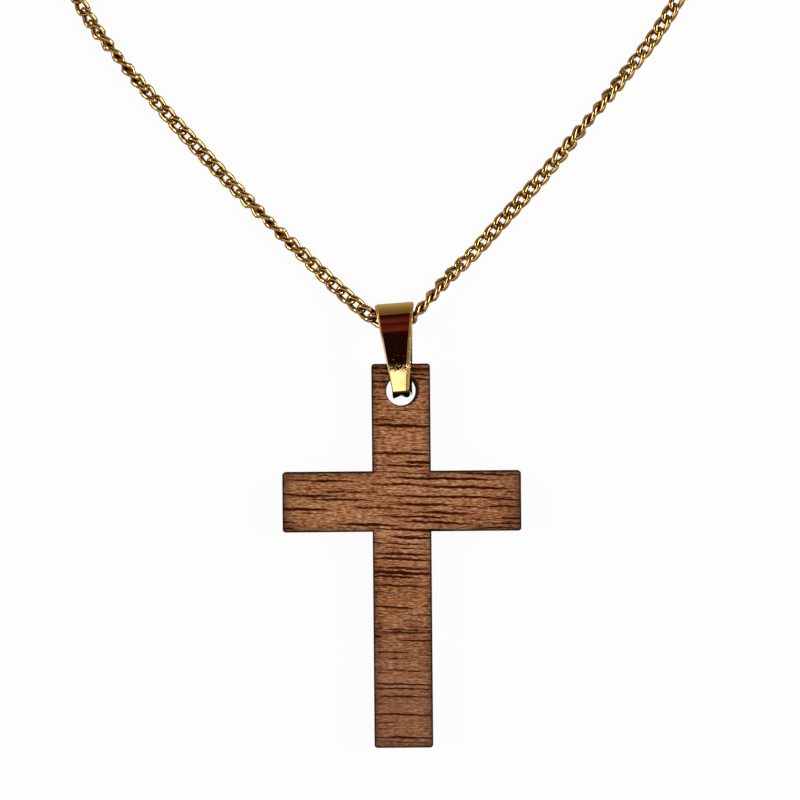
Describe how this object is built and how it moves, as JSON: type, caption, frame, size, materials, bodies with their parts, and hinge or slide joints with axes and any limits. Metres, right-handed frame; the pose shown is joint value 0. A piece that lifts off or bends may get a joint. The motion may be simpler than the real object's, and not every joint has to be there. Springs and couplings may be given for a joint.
{
  "type": "cross pendant necklace",
  "caption": "Flat wooden cross pendant, laser cut, on a polished gold folded bail that swings on a fine gold curb chain with a lobster clasp",
  "frame": {"origin": "on the table, under the middle of the cross and its bail together", "axes": "+Y from the foot of the cross to its top and on to the chain, +X to the right seen from the front face, +Z out of the front face, up from the table"},
  "size_m": [0.0878, 0.1964, 0.0053],
  "materials": {
    "walnut": "bare, fine horizontal grain, scorched edges",
    "polished_gold": "polished",
    "chain_gold": "polished",
    "spring_steel": "drawn wire"
  },
  "bodies": {
    "chain": {"chain_left_front": "chain_gold", "chain_left_side": "chain_gold", "chain_left_rest": "chain_gold", "chain_left_back": "chain_gold", "chain_right_front": "chain_gold", "chain_right_side": "chain_gold", "chain_right_rest": "chain_gold", "chain_right_back": "chain_gold", "clasp_body": "polished_gold", "clasp_pin": "polished_gold", "clasp_spring": "spring_steel"},
    "bail": {"bail": "polished_gold"},
    "cross": {"cross": "walnut"},
    "lever": {"clasp_lever": "polished_gold"},
    "jump_ring": {"jump_ring": "chain_gold"},
    "end_ring": {"end_ring": "chain_gold"}
  },
  "joints": [
    {"name": "bail_swing", "type": "hinge", "parent": "chain", "child": "bail", "pos_m": [-0.00063, 0.0268, 0.00265], "axis": [-0.9976, -0.0698, 0], "range_deg": [0, 150]},
    {"name": "cross_sway", "type": "hinge", "parent": "bail", "child": "cross", "pos_m": [0, 0.01778, 0.00205], "axis": [0, 0, 1], "range_deg": [-75, 75]},
    {"name": "lever_open", "type": "hinge", "parent": "chain", "child": "lever", "pos_m": [-0.00273, 0.1188, 0.0019], "axis": [0, 0, -1], "range_deg": [0, 25], "stiffness_Nm_per_rad": 0.0002, "springref_deg": -17.19},
    {"name": "jump_ring_spin", "type": "hinge", "parent": "chain", "child": "jump_ring", "pos_m": [-0.00766, 0.1183, 0.0019], "axis": [0, 1, 0], "continuous": true},
    {"name": "end_ring_spin", "type": "hinge", "parent": "chain", "child": "end_ring", "pos_m": [0.00325, 0.1183, 0.0019], "axis": [0, 1, 0], "continuous": true}
  ]
}
